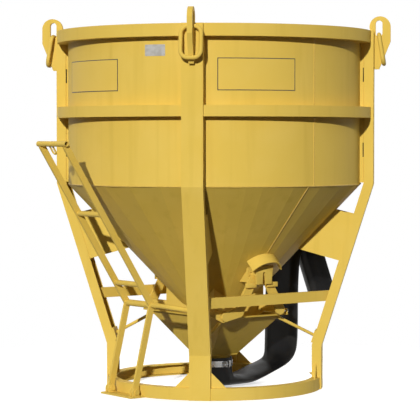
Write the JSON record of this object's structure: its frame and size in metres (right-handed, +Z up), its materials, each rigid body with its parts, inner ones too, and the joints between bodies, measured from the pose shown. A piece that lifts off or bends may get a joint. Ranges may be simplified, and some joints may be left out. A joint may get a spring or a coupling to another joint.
{
  "type": "concrete bucket",
  "caption": "open round drum on a cone, carried on folded legs and a base ring, with lifting lugs and rings, a ladder lever, toothed outlet jaws, a chute and a folded hose",
  "frame": {"origin": "the centre of the base on the ground, under the drum's axis", "axes": "+Z up along the drum's axis; the legs stand on +X (right), +Y (rear), -X (left) and -Y (front); the hose lies between +X and +Y and the lever between -X and -Y"},
  "size_m": [1.79, 1.79, 1.886],
  "materials": {
    "paint": "satin mustard yellow paint on folded and welded steel plate",
    "zinc": "bright zinc plated hose clamp and bolt",
    "rubber": "black rubber, half gloss"
  },
  "bodies": {
    "bucket": {"drum": "paint", "cone": "paint", "rim_band": "paint", "mid_band": "paint", "leg_right": "paint", "leg_rear": "paint", "leg_left": "paint", "leg_front": "paint", "leg_packers": "paint", "leg_gussets": "paint", "base_ring": "paint", "foot_braces": "paint", "tie_bar_front": "paint", "tie_bar_rear": "paint", "lug_right": "paint", "lug_rear": "paint", "lug_left": "paint", "lug_front": "paint", "outlet_box": "paint", "pivot_bracket_front": "paint", "pivot_bracket_rear": "paint", "gear_hood_front": "paint", "gear_hood_rear": "paint", "pivot_pins": "paint", "pivot_nuts": "paint", "chute": "paint", "chute_stays": "paint", "stay_pads": "paint", "spout": "paint", "hose": "rubber", "hose_clamp": "zinc", "clamp_bolt": "zinc", "hose_rest": "paint", "lever_bracket": "paint", "lever_bolts": "paint"},
    "lever": {"lever_bar_left": "paint", "lever_bar_right": "paint", "lever_handle": "paint", "lever_rungs": "paint", "lever_knee_tube": "paint", "pull_eye": "paint"},
    "link": {"gate_link": "paint"},
    "lever_side_jaw": {"lever_jaw_pan": "paint", "lever_jaw_arms": "paint", "link_pin": "paint"},
    "hose_side_jaw": {"hose_jaw_pan": "paint", "hose_jaw_arms": "paint"},
    "lift_ring_right": {"bail_right": "paint"},
    "lift_ring_rear": {"bail_rear": "paint"},
    "lift_ring_left": {"bail_left": "paint"},
    "lift_ring_front": {"bail_front": "paint"}
  },
  "joints": [
    {"name": "lever_pull", "type": "hinge", "parent": "bucket", "child": "lever", "pos_m": [-0.40637, -0.40637, 0.028], "axis": [0.7071, -0.7071, 0], "range_deg": [0, 9.7]},
    {"name": "link_swing", "type": "hinge", "parent": "lever", "child": "link", "pos_m": [-0.33446, -0.33446, 0.45], "axis": [0.7071, -0.7071, 0], "range_deg": [0, 8.8]},
    {"name": "lever_jaw_swing", "type": "hinge", "parent": "bucket", "child": "lever_side_jaw", "pos_m": [-0.02121, -0.02121, 0.595], "axis": [-0.7071, 0.7071, 0], "range_deg": [0, 26]},
    {"name": "hose_jaw_swing", "type": "hinge", "parent": "bucket", "child": "hose_side_jaw", "pos_m": [0.02121, 0.02121, 0.595], "axis": [0.7071, -0.7071, 0], "range_deg": [0, 26]},
    {"name": "ring_right_swing", "type": "hinge", "parent": "bucket", "child": "lift_ring_right", "pos_m": [0.837, 0, 1.795], "axis": [0, -1, 0], "range_deg": [0, 170]},
    {"name": "ring_rear_swing", "type": "hinge", "parent": "bucket", "child": "lift_ring_rear", "pos_m": [0, 0.837, 1.795], "axis": [1, 0, 0], "range_deg": [0, 170]},
    {"name": "ring_left_swing", "type": "hinge", "parent": "bucket", "child": "lift_ring_left", "pos_m": [-0.837, 0, 1.795], "axis": [0, 1, 0], "range_deg": [0, 170]},
    {"name": "ring_front_swing", "type": "hinge", "parent": "bucket", "child": "lift_ring_front", "pos_m": [0, -0.837, 1.795], "axis": [-1, 0, 0], "range_deg": [0, 170]}
  ],
  "couplings": [
    {"joint": "link_swing", "follows": "lever_pull", "ratio": 0.907},
    {"joint": "lever_jaw_swing", "follows": "lever_pull", "ratio": 2.6804},
    {"joint": "hose_jaw_swing", "follows": "lever_pull", "ratio": 2.6804}
  ]
}
